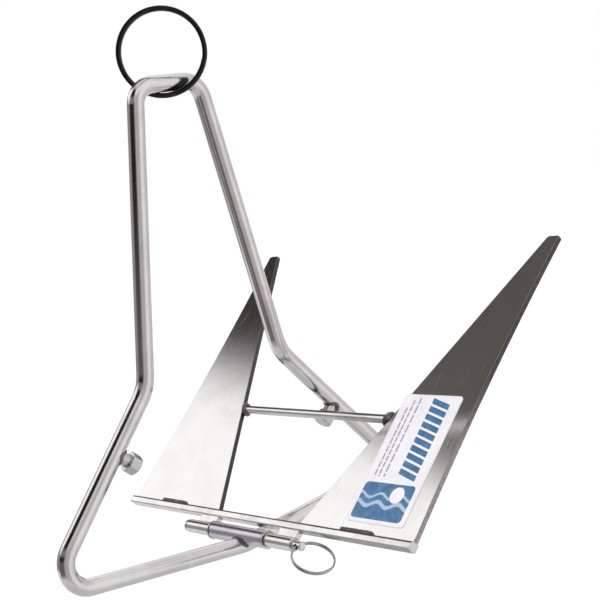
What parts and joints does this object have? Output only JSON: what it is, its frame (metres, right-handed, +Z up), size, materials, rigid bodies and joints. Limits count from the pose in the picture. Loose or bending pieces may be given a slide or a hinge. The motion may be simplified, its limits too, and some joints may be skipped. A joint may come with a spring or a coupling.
{
  "type": "hinged twin-fluke boat anchor",
  "caption": "Lightweight boat anchor: a bent-rod shank loop hung from a split ring, with a pair of pointed flukes that swings on a pin between stops on the legs.",
  "frame": {"origin": "centre of the eye of the big split ring, from which the anchor hangs", "axes": "+Z up the shank, X along the hinge pin with the pin's split ring on the +X side, Y across the shank loop; at rest the flukes lean towards +Y"},
  "size_m": [0.3204, 0.3462, 0.3901],
  "materials": {
    "rod_steel": "polished round bar",
    "sleeve_steel": "satin tube",
    "bar_steel": "bright bar",
    "fluke_steel": "polished plate with ground edges",
    "stud_steel": "machined hex",
    "weld": "as welded, heat tinted",
    "pin_steel": "ground pin",
    "ring_steel": "polished spring wire",
    "label_film": "printed vinyl film"
  },
  "bodies": {
    "ring": {"rode_ring": "ring_steel"},
    "shank": {"shank_rod": "rod_steel", "hinge_sleeve": "sleeve_steel", "sleeve_weld_front": "weld", "sleeve_weld_rear": "weld", "stop_stud_front": "stud_steel", "stop_stud_rear": "stud_steel", "stop_weld_front": "weld", "stop_weld_rear": "weld"},
    "flukes": {"crown_bar": "bar_steel", "fluke_left": "fluke_steel", "fluke_right": "fluke_steel", "fluke_weld_left": "weld", "fluke_weld_right": "weld", "cross_rod": "bar_steel", "cross_rod_weld_left": "weld", "cross_rod_weld_right": "weld", "knuckle_left": "sleeve_steel", "knuckle_right": "sleeve_steel", "lug_left": "bar_steel", "lug_right": "bar_steel", "label": "label_film"},
    "pin": {"hinge_pin": "pin_steel", "hinge_washer_left": "pin_steel", "hinge_washer_right": "pin_steel"},
    "pin_ring": {"pin_split_ring": "ring_steel"}
  },
  "joints": [
    {"name": "ring_swing", "type": "hinge", "parent": "ring", "child": "shank", "pos_m": [0, 0, -0.0211], "axis": [0, 1, 0], "range_deg": [-110, 110]},
    {"name": "fluke_hinge", "type": "hinge", "parent": "shank", "child": "flukes", "pos_m": [0, 0, -0.3431], "axis": [1, 0, 0], "range_deg": [0, 91.2]},
    {"name": "pin_turn", "type": "hinge", "parent": "flukes", "child": "pin", "pos_m": [0, 0, -0.3431], "axis": [1, 0, 0], "range_deg": [-120, 5]},
    {"name": "pin_ring_swing", "type": "hinge", "parent": "pin", "child": "pin_ring", "pos_m": [0.0602, 0, -0.3431], "axis": [0, 0.9976, 0.0698], "range_deg": [-10, 110]}
  ]
}
